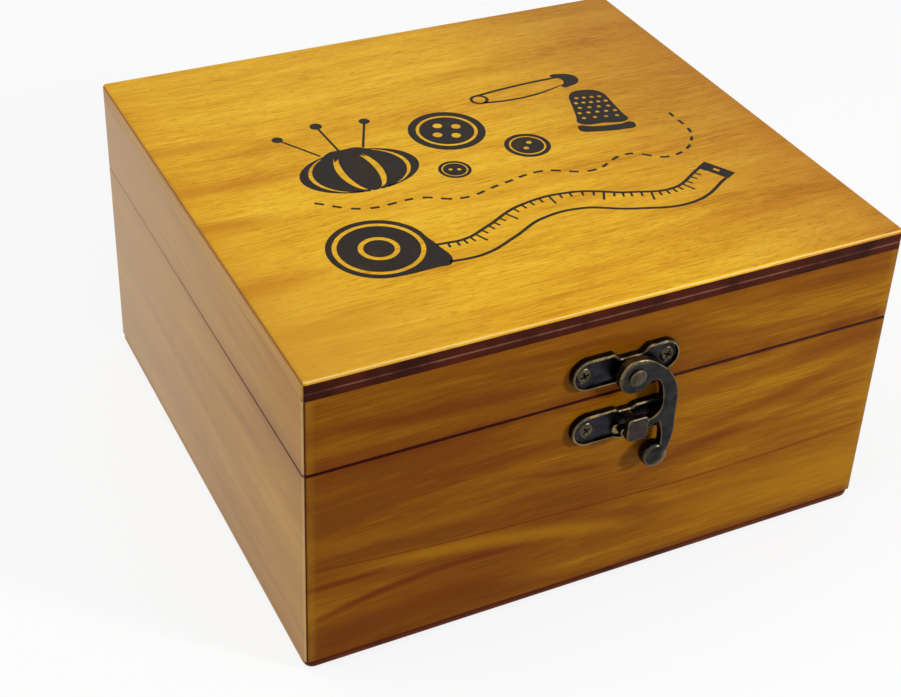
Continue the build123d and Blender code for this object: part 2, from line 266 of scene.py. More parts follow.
left_veins = [
    (20, 30.0, 0.050, 0.0004, 3.6, 60, 0.35), (-22, 43.0, -0.060, 0.0, 3.2, 34, 0.45),
    (10, 14.0, 0.020, 0.0, 1.2, 70, 0.3), (-30, 64.0, 0.060, 0.0, 2.2, 44, 0.3),
    (24, 60.0, 0.0, 0.0006, 1.2, 40, 0.3), (-60, 54.0, 0.020, 0.0, 8.0, 36, 0.5),
]
plain_veins = [
    (-18, 38.0, 0.060, -0.0012, 3.0, 56, 0.5), (26, 20.0, -0.050, 0.0008, 3.8, 60, 0.5),
    (-34, 10.0, 0.030, 0.0, 1.6, 40, 0.5), (8, 29.0, 0.020, 0.0003, 0.35, 90, 0.6),
    (20, 66.0, -0.040, 0.0010, 2.6, 50, 0.4), (-30, 60.0, 0.050, 0.0, 1.6, 40, 0.4),
]
print(len(base_front_veins) + len(lid_front_veins), "veins on the front")

# %% [markdown]
# The outside is varnished over an amber stain, and the inside was left as it came from the saw. A
# mask made from the place alone tells them apart: whatever lies deeper than the stain soaks in from
# the four sides, above the bottom panel's inner face and below the lid panel's, is raw. That takes
# in the rims that meet at the seam, where the stain has only crept over the outer edge.
# %% Inside and outside


def raw_inside(finish, plain, parts):
    """One where the wood is raw, and zero where it is stained and varnished."""
    seep = noise(finish, plain, 0.35, 2.0)
    deep_x = sums(finish, "SUBTRACT", half_wide, sums(finish, "ABSOLUTE", parts[0]))
    deep_y = sums(finish, "SUBTRACT", half_deep, sums(finish, "ABSOLUTE", parts[1]))
    depth = sums(finish, "MULTIPLY_ADD", seep, -0.8, sums(finish, "MINIMUM", deep_x, deep_y))
    above = sums(finish, "GREATER_THAN", parts[2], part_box("bottom_panel")[1].z * 1000 - 0.1)
    below = sums(finish, "LESS_THAN", parts[2], panel_low + 0.1)
    return times(finish, fade(finish, depth, 0.25, 0.55), above, below)


raw_tones = [
    (0.34, colour(190, 153, 104)), (0.43, colour(205, 170, 119)),
    (0.49, colour(213, 180, 130)), (0.58, colour(222, 193, 147)),
]


def varnished(finish, skin, outer, tone, inside, fibres, gloss):
    """Ends a wood finish: raw inside, satin varnish outside, and fibres felt through it."""
    varnish_rough = sums(finish, "MULTIPLY_ADD", fibres, 0.16, 0.26)
    feed(finish, skin, {
        "Base Color": mixed(finish, inside, outer, ramp(finish, tone, raw_tones)),
        "Roughness": sums(finish, "MULTIPLY_ADD", inside, 0.28, varnish_rough),
        "Specular IOR Level": gloss,
        "Normal": put(finish, "Bump", {"Strength": 0.25, "Distance": mm(0.05), "Height": fibres}),
    })


print("raw tones", len(raw_tones))

# %% [markdown]
# The boards. The stain has gathered where the brush left it, along the seam, at the foot and in the
# corners: a thin dark line just in from the front corners, with an olive strip beside it, rubbed and
# with a painted highlight. On the sides the same corners carry a pale painted highlight, and the
# wood pales towards the back, a painted reflection. Each mark is a colour mixed over the ones before
# it, by a share that is worked out from how many millimetres a point lies from a corner, from the
# seam or from the foot.
# %% Stain, wear and painted light on a board
red_vein, side_vein, golden_wood = colour(90, 30, 1), colour(134, 86, 38), colour(154, 104, 9)
# The olive of the front corners is partly rubbed stain and partly a painted highlight.
rubbed_olive_highlight, corner_stain, seam_stain = colour(142, 102, 26), colour(66, 17, 2), colour(48, 5, 0)
# Painted light on the sides: a pale painted reflection towards the back and a pale painted highlight on
# the corners.
painted_reflection_side, painted_highlight_side = colour(190, 158, 120), colour(205, 178, 130)
olive_in, dark_line_in, painted_highlight_in = 0.9, 0.42, 0.6
seam_reach, foot_full, foot_reach = 3.4, 1.2, 5.6


def front_corners(finish, wood, corner, cloud):
    """The olive strip, rubbed and with a painted highlight, and the thin dark line along a front corner.
    """
    patchy = fade(finish, cloud, 0.3, 0.7, 0.15, 0.5)
    # The olive strip: rubbed stain with a painted highlight on the rounded corner.
    olive = times(finish, near(finish, corner, olive_in, 0.3, 2.2), patchy)
    dark_line = times(finish, near(finish, corner, dark_line_in, 0.06, 0.30), 0.88)
    return mixed(finish, dark_line, mixed(finish, olive, wood, rubbed_olive_highlight), corner_stain)


def side_corners(finish, wood, corner, depth):
    """A side that pales towards the back, a painted reflection, with a painted highlight on its corners.
    """
    # Painted reflection towards the back, then a painted highlight on the corners.
    paled_by_reflection = mixed(finish, fade(finish, depth, -half_deep, half_deep, 0.0, 0.55), wood, painted_reflection_side)
    corner_highlight = times(finish, near(finish, corner, painted_highlight_in, 0.1, 0.5), 0.5)
    return mixed(finish, corner_highlight, paled_by_reflection, painted_highlight_side)


def gathered_stain(finish, up, cloud):
    """How much stain has gathered on both sides of the seam and at the foot."""
    at_seam = near(finish, up, seam_high, 0.3, seam_reach)
    at_foot = fade(finish, up, foot_full, foot_reach, 1.0, 0.0)
    patchy, ragged = fade(finish, cloud, 0.35, 0.65, 0.15, 0.55), fade(finish, cloud, 0.3, 0.6, 0.6, 0.95)
    return sums(finish, "MAXIMUM", times(finish, at_seam, patchy), times(finish, at_foot, ragged))


print("stain gathers at", round(seam_high, 1), "mm and at the foot")

# %% [markdown]
# One board's finish puts the steps in order: the tone of the wood, its golden streaks and veins,
# the gathered stain, the corners, and the dark line that the stain draws along the seam. Boards
# along X, the front and the back, are reddish brown and get a little lighter towards the right and
# the foot, which is painted light. Boards along Y, the sides, are tan, and their seam line fades
# out towards the back.
# %% A board's finish
front_tones = [
    (0.34, colour(106, 56, 3)), (0.42, colour(121, 71, 3)),
    (0.48, colour(133, 83, 5)), (0.55, colour(152, 103, 9)),
]
side_tones = [
    (0.33, colour(149, 100, 32)), (0.41, colour(160, 112, 38)),
    (0.47, colour(166, 119, 42)), (0.56, colour(177, 132, 53)),
]
# Painted light: how much lighter the boards along X grow per millimetre towards the right and the foot.
painted_light_to_right, painted_light_to_foot = 0.0007, 0.0009


def board_finish(name, along, shift, streaks, golden, gloss):
    """Varnished board, raw inside, darker at the seam and the foot."""
    finish, skin = start_finish(name)
    plain, parts, bent, sway = wood_place(finish, along, shift)
    is_front = along == "X"
    run, end = (parts[0], half_wide) if is_front else (parts[1], half_deep)
    tones, vein = (front_tones, red_vein) if is_front else (side_tones, side_vein)
    tone, fibres = wood_tone(finish, bent, broad=0.44, middle=0.20, fine=0.24)
    # Painted light: the tone is lifted towards the right and towards the foot.
    if is_front:
        drop = sums(finish, "SUBTRACT", seam_high / 2, parts[2])
        tone = sums(finish, "MULTIPLY_ADD", parts[0], painted_light_to_right, tone)
        tone = sums(finish, "MULTIPLY_ADD", drop, painted_light_to_foot, tone)
    up = sums(finish, "MULTIPLY_ADD", sway, 0.3, parts[2])
    ragged_up = sums(finish, "MULTIPLY_ADD", sums(finish, "SUBTRACT", fibres, 0.5), 1.5, up)
    wood = ramp(finish, tone, tones)
    wood = mixed(finish, veins(finish, up, ragged_up, run, golden), wood, golden_wood)
    broken = fade(finish, fibres, 0.2, 0.6, 0.6, 1.0)
    wood = mixed(finish, times(finish, veins(finish, up, ragged_up, run, streaks), broken), wood, vein)
    cloud = noise(finish, plain, 0.11, 2.0)
    wood = mixed(finish, gathered_stain(finish, parts[2], cloud), wood, vein)
    corner = sums(finish, "SUBTRACT", end, sums(finish, "ABSOLUTE", run))
    if is_front:
        wood, seam_share = front_corners(finish, wood, corner, cloud), 1.0
    else:
        wood = side_corners(finish, wood, corner, parts[1])
        seam_share = fade(finish, parts[1], -half_deep, 0.5 * half_deep, 0.7, 0.1)
    seam_line = near(finish, parts[2], seam_high, 0.27, 0.56)
    wood = mixed(finish, times(finish, seam_line, seam_share), wood, seam_stain)
    varnished(finish, skin, wood, tone, raw_inside(finish, plain, parts), fibres, gloss)
    return finish


print("tone from", front_tones[0][0], "to", front_tones[-1][0], "on the front")

# %% [markdown]
# Every board is cut from another plank: its grain runs along X or Y, and a shift moves it to a
# fresh place in the noise. The front and the left side have veins of their own, and the boards that
# don't meet the camera share a plainer set. The last number is the gloss, higher on the sides.
# %% Side boards
board_plan = {
    "base_front": ("X", (0, 0, 0), base_front_veins, golden_streaks, 0.04),
    "lid_front": ("X", (4.0, 20.0, 3.1), lid_front_veins, [], 0.04),
    "base_back": ("X", (31.0, 52.0, 14.0), plain_veins, [], 0.05),
    "lid_back": ("X", (74.0, 22.0, 51.0), plain_veins, [], 0.05),
    "base_left": ("Y", (7.0, 15.0, 22.0), left_veins, [], 0.08),
    "lid_left": ("Y", (19.0, 45.0, 62.0), left_veins, [], 0.08),
    "base_right": ("Y", (57.0, 75.0, 2.0), plain_veins, [], 0.08),
    "lid_right": ("Y", (87.0, 5.0, 42.0), plain_veins, [], 0.08),
}


def cover(node, finish):
    """Gives a CAD node one finish."""
    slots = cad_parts[node].data.materials
    slots.clear()
    slots.append(finish)


for node, plan in board_plan.items():
    cover(node, board_finish(f"varnished_{node}", *plan))
print(len(board_plan), "boards finished")

# %% [markdown]
# The lid's top and the bottom are plywood. The face veneer is golden, with short fine pores and a
# silky mottle across the grain, the wood's figure with its sheen painted in as tone. It darkens a
# little at the sides and the back, and more towards the right, a painted shade that is multiplied
# in as a tint so that the grain stays. It is duller at the near left corner, and brown smudges lie
# along its left and front edges. All of that is worked out from the place.
# %% The face veneer
pore_brown, dull_gold, smudge_brown = colour(158, 98, 14), colour(190, 136, 46), colour(176, 110, 16)
# Painted shade: the tint that darkens the veneer towards the right.
painted_shade_right = (0.71, 0.58, 0.85, 1.0)
mottle_turn, mottle_size = (0, 0, math.radians(-38)), (0.05, 0.16, 0.1)
rim_reach = 9
top_tones = [
    (0.38, colour(188, 128, 18)), (0.46, colour(206, 152, 28)),
    (0.54, colour(217, 166, 35)), (0.63, colour(227, 181, 51)),
]
top_smudges = [
    (-72, 28, 0.0, 0.0, 4.5, 26, 0.5), (-70, 9, -0.080, 0.0, 5.0, 34, 0.6),
    (-72, -8, -0.060, 0.0, 4.0, 24, 0.7), (-72, -34, 0.020, 0.0, 5.0, 22, 0.5),
    (-52, -52, 0.0, 0.0, 6.0, 30, 0.3), (40, -48, 0.020, 0.0, 5.0, 44, 0.3),
]


def veneer(finish, plain, parts, bent, tones, smudges):
    """The face's colour, its tone and its fibres."""
    tone, fibres = wood_tone(finish, bent, broad=0.32, middle=0.20, fine=0.48)
    across = put(finish, "Mapping", {"Vector": plain, "Rotation": mottle_turn, "Scale": mottle_size})
    # The figure across the grain, with its silky sheen painted in as tone.
    figure_and_sheen = sums(finish, "SUBTRACT", noise(finish, across, 1.0, 2.0), 0.5)
    tone = sums(finish, "MULTIPLY_ADD", figure_and_sheen, 0.14, tone)
    pores = fade(finish, drawn_out(finish, bent, 0.16, fibre_width, 1.0), 0.60, 0.70)
    face = mixed(finish, times(finish, pores, 0.4), ramp(finish, tone, tones), pore_brown)
    side_rim = fade(finish, sums(finish, "ABSOLUTE", parts[0]), half_wide - rim_reach, half_wide)
    back_rim = fade(finish, parts[1], half_deep - rim_reach, half_deep)
    rim = sums(finish, "MAXIMUM", side_rim, back_rim)
    face = mixed(finish, times(finish, rim, 0.3), face, tones[0][1])
    # Painted shade towards the right.
    to_right = sums(finish, "MULTIPLY_ADD", parts[1], 0.1, parts[0])
    face = mixed(finish, fade(finish, to_right, 5.0, 70.0), face, painted_shade_right, "MULTIPLY")
    near_left = sums(finish, "MULTIPLY_ADD", parts[1], -0.6, times(finish, parts[0], -0.8))
    face = mixed(finish, fade(finish, near_left, 50.0, 94.0, 0.0, 0.6), face, dull_gold)
    smudged_y = sums(finish, "MULTIPLY_ADD", sums(finish, "SUBTRACT", fibres, 0.5), 5.0, parts[1])
    smudged = veins(finish, smudged_y, smudged_y, parts[0], smudges)
    return mixed(finish, smudged, face, smudge_brown), tone, fibres


print(len(top_smudges), "smudges")

# %% [markdown]
# At the front edge the cut layers took the stain and are a dark reddish brown with one thin line,
# pale on the lid and dark at the foot. At the sides the long grain stayed tan, and it pales towards
# the back, a painted reflection. The corner between the lid's face and its edge is a fine pale line
# at the front, a painted highlight, and a brown one at the sides. Height and side alone tell these
# apart.
# %% The cut layers and the whole panel
# The pale side colour is a painted reflection, and the pale corner colour is a painted highlight.
painted_reflection_edge, brown_corner, painted_highlight_corner = colour(184, 150, 108), colour(132, 74, 28), colour(236, 208, 128)
lid_layers = (colour(40, 10, 2), colour(70, 22, 7), colour(146, 100, 76))
foot_layers = (colour(62, 20, 4), colour(92, 38, 8), colour(36, 8, 1))
lid_face_ends, lid_line, foot_face_ends, foot_line = panel_high - 0.95, panel_low + 1.8, 0.5, 2.7
corner_drop = 0.38


def cut_layers(finish, plain, parts, at_side, layers, line_at):
    """The panel's edge: stained end grain at the front and back, tan long grain with a painted reflection
    at the sides.
    """
    cloud = noise(finish, plain, 0.09, 4.0, 0.6)
    broken = fade(finish, cloud, 0.38, 0.62, 0.1, 0.5)
    line = times(finish, near(finish, parts[2], line_at, 0.04, 0.34), broken)
    dark, less_dark, line_tone = layers
    front = mixed(finish, line, ramp(finish, cloud, [(0.35, dark), (0.65, less_dark)]), line_tone)
    lengthways = put(finish, "VectorMath", {0: plain, 1: (1, 0.03, 1)}, operation="MULTIPLY")
    tan = ramp(finish, noise(finish, lengthways, 0.6, 2.0), side_tones)
    # Painted reflection: the tan sides pale towards the back.
    tan = mixed(finish, fade(finish, parts[1], -half_deep, half_deep, 0.1, 0.45), tan, painted_reflection_edge)
    return mixed(finish, at_side, front, mixed(finish, times(finish, line, 0.5), tan, side_vein))


def ply_finish(name, shift, tones, smudges, layers, face_ends, line_at, face_up, gloss):
    """Face veneer over stained layers, with the height where the face ends and that of the line."""
    finish, skin = start_finish(name)
    plain, parts, bent = wood_place(finish, "X", shift, bend=7.0)[:3]
    face, tone, fibres = veneer(finish, plain, parts, bent, tones, smudges)
    at_side = fade(finish, sums(finish, "ABSOLUTE", parts[0]), half_wide - 0.42, half_wide - 0.2)
    layer = cut_layers(finish, plain, parts, at_side, layers, line_at)
    if face_up:
        is_face = fade(finish, parts[2], face_ends - 0.1, face_ends + 0.1)
        face = mixed(finish, times(finish, at_side, 0.75), face, brown_corner)
        # Painted highlight: a fine pale line along the lid's front corner.
        corner = near(finish, parts[2], panel_high - corner_drop, 0.08, 0.24)
        corner = times(finish, corner, rest_of(finish, at_side), 0.55)
        face = mixed(finish, corner, face, painted_highlight_corner)
    else:
        is_face = fade(finish, parts[2], face_ends - 0.12, face_ends + 0.12, 1.0, 0.0)
    outer = mixed(finish, is_face, layer, face)
    varnished(finish, skin, outer, tone, raw_inside(finish, plain, parts), fibres, gloss)
    return finish


lid_ply = ("varnished_plywood_lid", (0, 0, 0), top_tones, top_smudges, lid_layers)
foot_ply = ("varnished_plywood_bottom", (20, 50, 10), front_tones, [], foot_layers)
cover("top_panel", ply_finish(*lid_ply, lid_face_ends, lid_line, face_up=True, gloss=0.05))
cover("bottom_panel", ply_finish(*foot_ply, foot_face_ends, foot_line, face_up=False, gloss=0.03))
print("the lid's face ends at", round(lid_face_ends, 2), "mm, and its line is at", round(lid_line, 2))

# %% [markdown]
# The hardware is die-cast and coloured to look like old bronze: nearly black in the hollows, and
# polished back to brass on whatever a finger or a cloth touches. Wear is where the casting stands
# proud, so the finish reads two things: how far a point stands out from a plane, and whether the
# surface turns away from the face, as it does on a rounded edge. Two noises break both, a cloudy
# one and a fine one of scuffs, whose scales are in marks per metre.
# %% Antique bronze
cloud_scale, scuff_scale = 380.0, 1300.0


def bronze_finish(name, plane, out, worn_from, worn_to, dark, mid, worn_tone, rough, edges, wear_and_highlights=None):
    """Dark bronze, worn to brass where it stands proud of a plane and on rounded edges."""
    finish, skin = start_finish(name)
    coords = put(finish, "TexCoord", {}).node.outputs
    parts = put(finish, "SeparateXYZ", {0: coords["Object"]}).node.outputs
    height = times(finish, sums(finish, "SUBTRACT", parts[1], plane), out)
    proud = fade(finish, height, worn_from, worn_to)
    tilt = sums(finish, "ABSOLUTE", put(finish, "SeparateXYZ", {0: coords["Normal"]}).node.outputs[1])
    turned = times(finish, fade(finish, tilt, 0.25, 0.55), fade(finish, tilt, 0.80, 0.96, 1.0, 0.0), edges)
    # For the hook this also paints highlights and shade; for the stud it only limits the wear.
    if wear_and_highlights:
        turned = wear_and_highlights(finish, parts, turned)
    cloud = noise(finish, coords["Object"], cloud_scale, 3.0, 0.6)
    scuff = noise(finish, coords["Object"], scuff_scale, 3.0, 0.65)
    patchy = times(finish, fade(finish, scuff, 0.34, 0.6, 0.55), fade(finish, cloud, 0.36, 0.58, 0.5))
    worn = times(finish, sums(finish, "MAXIMUM", proud, turned), patchy)
    feed(finish, skin, {
        "Base Color": mixed(finish, worn, ramp(finish, cloud, [(0.35, dark), (0.65, mid)]), worn_tone),
        "Metallic": 1.0,
        "Roughness": sums(finish, "MULTIPLY_ADD", cloud, 0.22, rough - 0.11),
        "Normal": put(finish, "Bump", {"Strength": 0.35, "Distance": mm(0.04), "Height": scuff}),
    })
    return finish


print("clouds of", round(1000 / cloud_scale, 1), "mm, scuffs of", round(1000 / scuff_scale, 1), "mm")

# %% [markdown]
# Two parts are marked where they are gripped. The hook keeps its worn edges, and as a crescent, a
# band between two radii strongest on one side, its eye has a painted highlight at its upper left and
# the thumb piece one at its lower right. The thumb's upper left is painted shade, where its edge
# wear is taken away. On the stud only the square head is rubbed.
# %% Painted highlights and shade on the hook, and the stud's worn head
rivet_low, rivet_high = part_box("latch_rivet")
pivot = (rivet_low + rivet_high) / 2
eye_radius = pivot.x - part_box("latch_hook")[0].x
thumb_across, thumb_drop, thumb_radius = mm(7.5), mm(24), mm(3.2)
thumb_at = Vector((pivot.x + thumb_across, 0, pivot.z - thumb_drop))
upper_left, lower_right = (-0.6, 0.8), (0.75, -0.66)
stud_head_thick = mm(1.5)


def ring_side(finish, parts, middle, low, high, side):
    """Distance from a middle in the hook's plane, as a step, and how much a point lies to one side."""
    across = sums(finish, "SUBTRACT", parts[0], middle.x)
    up = sums(finish, "SUBTRACT", parts[2], middle.z)
    away = sums(finish, "SQRT", sums(finish, "MULTIPLY_ADD", across, across, times(finish, up, up)))
    towards = sums(finish, "MULTIPLY_ADD", across, side[0], times(finish, up, side[1]))
    return fade(finish, away, low, high), sums(finish, "DIVIDE", towards, away)


def hook_wear_and_painted_light(finish, parts, turned):
    """Edge wear, painted highlights on the eye's upper left and the thumb's lower right, and painted shade
    on the thumb's upper left.
    """
    def band(middle, radius, low, high, side):
        return ring_side(finish, parts, middle, radius + mm(low), radius + mm(high), side)
    # Painted highlight: a crescent on the eye's upper left.
    step, lean = band(pivot, eye_radius, -1.3, -0.2, upper_left)
    over = band(pivot, eye_radius, 0.2, 0.6, upper_left)[0]
    eye = times(finish, step, fade(finish, lean, 0.1, 0.8, 0.0, 0.7), rest_of(finish, over))
    # Painted highlight on the thumb's lower right, and painted shade on its upper left where the edge wear
    # is taken away.
    inner, thumb_lean = band(thumb_at, thumb_radius, -2.5, -0.9, lower_right)
    on_thumb = rest_of(finish, band(thumb_at, thumb_radius, 0.1, 0.4, lower_right)[0])
    thumb_highlight = times(finish, inner, fade(finish, thumb_lean, -0.1, 0.8, 0.0, 0.9), on_thumb)
    thumb_shade = times(finish, on_thumb, fade(finish, thumb_lean, -0.4, 0.3, 0.75, 0.0))
    kept = times(finish, turned, rest_of(finish, thumb_shade))
    return sums(finish, "MAXIMUM", kept, sums(finish, "MAXIMUM", eye, thumb_highlight))


def rubbed_stud(finish, parts, turned):
    """Only the stud's square head is rubbed, and its round neck has stayed dark."""
    head_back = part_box("catch_stud")[0].y + stud_head_thick
    return times(finish, turned, fade(finish, parts[1], head_back - mm(0.3), head_back, 1.0, 0.0))


print("eye radius", round(eye_radius * 1000, 2), "mm")

# %% [markdown]
# Each part of the hardware gets its own mixture: the plane that its wear is measured from, how far
# proud the wear starts and is full, three colours from hollow to brass, how rough it is, and how
# much its rounded edges are worn. The hook and the stud wear only on their edges and where handled,
# so the height at which their faces would wear is out of reach. The hook also takes painted
# highlights and a painted shade.
# %% Hardware finishes
out_of_reach = (mm(90), mm(91))
hardware = {
    "plate": (front_face, -1, mm(1.61), mm(1.71),
              colour(24, 22, 27), colour(46, 44, 48), colour(140, 120, 74), 0.33, 0.3),
    "hook": (front_face, -1, *out_of_reach,
             colour(28, 28, 30), colour(47, 46, 44), colour(132, 115, 80), 0.31, 0.8, hook_wear_and_painted_light),
    "rivet": (front_face, -1, mm(5.1), mm(6.3),
              colour(40, 38, 34), colour(66, 61, 50), colour(116, 102, 74), 0.34, 0.75),
    "stud": (front_face, -1, *out_of_reach,
             colour(40, 34, 33), colour(62, 54, 50), colour(138, 118, 86), 0.38, 0.55, rubbed_stud),
    "hinge": (back_face, 1, mm(1.4), mm(4.6),
              colour(32, 30, 31), colour(52, 48, 44), colour(134, 114, 76), 0.36, 0.5),
}
bronze = {part: bronze_finish(f"antique_bronze_{part}", *values) for part, values in hardware.items()}
cover("latch_plate", bronze["plate"])
cover("catch_plate", bronze["plate"])
cover("latch_hook", bronze["hook"])
cover("latch_rivet", bronze["rivet"])
cover("catch_stud", bronze["stud"])
for side in ("left", "right"):
    for piece in ("base_leaf", "lid_leaf", "pin"):
        cover(f"hinge_{side}_{piece}", bronze["hinge"])
print(len(bronze), "bronze finishes")

# %% [markdown]
# Cross-slot screws. The CAD gives each screw a plain head; the real ones have a cross-shaped
# recess with tapering walls. The body is a half profile spun round, left open at the top; the
# cross is a small twelve-sided outline; the ring between them is filled, and the cross is drawn
# down and closed. That is quicker and cleaner than cutting the recess with a boolean.
# %% One screw
plate_screw, hinge_screw, crown_high = (mm(1.85), mm(0.9), mm(6.0)), (mm(1.7), mm(0.8), mm(5.5)), mm(0.3)


def keep_mesh(shell, name, finish, sharp_from=35):
    """Writes a bmesh to a new object, smooth except at sharp edges."""
    bmesh.ops.recalc_face_normals(shell, faces=shell.faces)
    for face in shell.faces:
        face.smooth = True
    for edge in shell.edges:
        if len(edge.link_faces) == 2:
            edge.smooth = edge.calc_face_angle() < math.radians(sharp_from)
    data = bpy.data.meshes.new(name)
    shell.to_mesh(data)
    shell.free()
    data.materials.append(finish)
    piece = bpy.data.objects.new(name, data)
    bpy.context.scene.collection.objects.link(piece)
    return piece


def cross_screw(head, shank, length, crown):
    """A countersunk cross-slot wood screw about +Z, its rim at zero height."""
    shell = bmesh.new()
    profile = [
        (0.64 * head, crown), (0.82 * head, 0.78 * crown), (0.93 * head, 0.40 * crown), (head, 0),
        (0.97 * head, -0.12 * head), (shank, shank - head), (shank, 2 * shank - length), (0.0, -length),
    ]
    line = [shell.verts.new((r, 0, z)) for r, z in profile]
    for a, b in zip(line, line[1:]):
        shell.edges.new((a, b))
    bmesh.ops.spin(shell, geom=shell.verts[:] + shell.edges[:], axis=(0, 0, 1), cent=(0, 0, 0),
                   steps=36, angle=2 * math.pi, use_merge=True)
    bmesh.ops.remove_doubles(shell, verts=shell.verts, dist=mm(0.001))
    rim = [e for e in shell.edges if e.is_boundary]
    arm, half = 0.56 * head, 0.12 * head
    corners = [(half, half), (half, arm), (-half, arm), (-half, half), (-arm, half), (-arm, -half),
               (-half, -half), (-half, -arm), (half, -arm), (half, -half), (arm, -half), (arm, half)]
    cross = [shell.verts.new((x, y, crown)) for x, y in corners]
    slot = [shell.edges.new((cross[i], cross[(i + 1) % 12])) for i in range(12)]
    bmesh.ops.triangle_fill(shell, edges=rim + slot, use_beauty=True)
    walls = bmesh.ops.extrude_edge_only(shell, edges=slot)["geom"]
    low = [v for v in walls if isinstance(v, bmesh.types.BMVert)]
    bmesh.ops.translate(shell, verts=low, vec=(0, 0, -0.6 * head))
    bmesh.ops.scale(shell, verts=low, vec=(0.45, 0.45, 1))
    bmesh.ops.contextual_create(shell, geom=[e for e in walls if isinstance(e, bmesh.types.BMEdge)])
    return shell


trial = cross_screw(*plate_screw, crown_high)
print("one screw:", len(trial.faces), "faces,", sum(e.is_boundary for e in trial.edges), "open edges")
trial.free()

# %% [markdown]
# The screws stand where the CAD's own heads do. Those come as one group, so its outermost points
# are gathered into one cluster per screw, and the middle of each cluster is a place. Every screw
# is turned by another angle, as a hand leaves them, and each set rides with what it holds.
# %% The sets of screws


def screw_places(node, head, facing):
    """The middle of each screw's rim: the group's outermost points cluster round each screw."""
    points = [v.co.copy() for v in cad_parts[node].data.vertices]
    proud = max(p.y * facing for p in points)
    groups = []
    for p in (p for p in points if p.y * facing > proud - mm(0.01)):
        group = next((g for g in groups if (g[0] - p).length < 2 * head), None)
        if group is None:
            groups.append([p])
        else:
            group.append(p)
    middles = []
    for group in groups:
        low = Vector(min(p[i] for p in group) for i in range(3))
        high = Vector(max(p[i] for p in group) for i in range(3))
        middles.append((low + high) / 2 - Vector((0, crown_high * facing, 0)))
    return sorted(middles, key=lambda p: (p.x, p.z))


for node, body, screw, facing, turns in (
    ("latch_screws", "lid", plate_screw, -1, (22, 64)),
    ("catch_screws", "base", plate_screw, -1, (38, 12)),
    ("hinge_lid_screws", "lid", hinge_screw, 1, (10, 55, 31, 74)),
    ("hinge_base_screws", "base", hinge_screw, 1, (48, 5, 66, 27)),
):
    whole = bmesh.new()
    places = screw_places(node, screw[0], facing)
    laid = Matrix.Rotation(math.radians(-90 * facing), 4, "X")
    for place, turn in zip(places, turns):
        shell = cross_screw(*screw, crown_high)
        spun = Matrix.Rotation(math.radians(turn), 4, "Z")
        bmesh.ops.transform(shell, matrix=Matrix.Translation(place) @ laid @ spun, verts=shell.verts)
        one = bpy.data.meshes.new("one_screw")
        shell.to_mesh(one)
        shell.free()
        whole.from_mesh(one)
        bpy.data.meshes.remove(one)
    crown_plane = places[0].y + facing * crown_high
    steel = bronze_finish(f"antique_bronze_{node}", crown_plane, facing, mm(-0.5), mm(0.25),
                          colour(9, 8, 8), colour(20, 18, 17), colour(104, 94, 72), 0.34, 0.5)
    screws = keep_mesh(whole, f"cross_slot_{node}", steel)
    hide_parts(node)
    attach(screws, body)
    print(node, len(places), "screws,", len(screws.data.polygons), "faces")

# %% [markdown]
# The picture on the lid is ink that a pad pressed onto the varnish: flat dark shapes with crisp
# edges and hardly any thickness. Its shapes are drawn as curves in the lid's plane, in millimetres
# from the middle of the lid, then each is made mesh and gathered into one piece. These helpers put
# a line through points, make a curve mesh, and make the flat nib that a line is drawn with.
# %% Ink and lines
ink = bmesh.new()
ink_thick = 0.04


def flat_nib(name, spans):
    """A nib for strokes: one small rectangle for each span across, in millimetres."""
    shape = bpy.data.curves.new(name, "CURVE")
    shape.dimensions = "2D"
    for left, right in spans:
        loop = shape.splines.new("POLY")
        loop.points.add(3)
        corners = ((left, -ink_thick), (right, -ink_thick), (right, ink_thick), (left, ink_thick))
        for point, (x, y) in zip(loop.points, corners):
            point.co = (mm(x), mm(y), 0, 1)
        loop.use_cyclic_u = True
    made = bpy.data.objects.new(name, shape)
    bpy.context.scene.collection.objects.link(made)
    return made


def outline(curve, points, closed, smooth, widths=1.0, fineness=6):
    """Adds one line through points to a curve, of one width or one for each point."""
    line = curve.splines.new("BEZIER")
    line.bezier_points.add(len(points) - 1)
    line.resolution_u = fineness if smooth else 1
    for i, (knot, (x, y)) in enumerate(zip(line.bezier_points, points)):
        knot.co = (mm(x), mm(y), 0)
        knot.handle_left_type = knot.handle_right_type = "AUTO" if smooth else "VECTOR"
        knot.radius = widths[i] if isinstance(widths, tuple) else widths
    line.use_cyclic_u = closed


def curve_mesh(curve):
    """Turns a drawn curve into mesh and removes the curve."""
    drawn = bpy.data.objects.new("drawn", curve)
    bpy.context.scene.collection.objects.link(drawn)
    bpy.context.view_layer.update()
    made = bpy.data.meshes.new_from_object(drawn.evaluated_get(bpy.context.evaluated_depsgraph_get()))
    bpy.data.objects.remove(drawn)
    bpy.data.curves.remove(curve)
    return made


def lay_ink(curve):
    """Adds a drawn curve to the ink."""
    made = curve_mesh(curve)
    ink.from_mesh(made)
    bpy.data.meshes.remove(made)


print("the ink is", ink_thick * 2, "mm thick")

# %% [markdown]
# A filled 2D curve gives a patch, and an outline inside another one is a hole. A line drawn with a
# flat nib, which is a small rectangle swept along it, gives a stroke. That way a motif is a few
# given points, and Blender rounds the lines between them.
# %% Patches, strokes and rings
nib = flat_nib("nib", [(-0.5, 0.5)])


def patch(*loops, smooth=True):
    """A filled shape: the first outline, less the ones inside it."""
    curve = bpy.data.curves.new("patch", "CURVE")
    curve.dimensions, curve.fill_mode, curve.extrude = "2D", "BOTH", mm(ink_thick)
    for loop in loops:
        outline(curve, loop, True, smooth)
    lay_ink(curve)


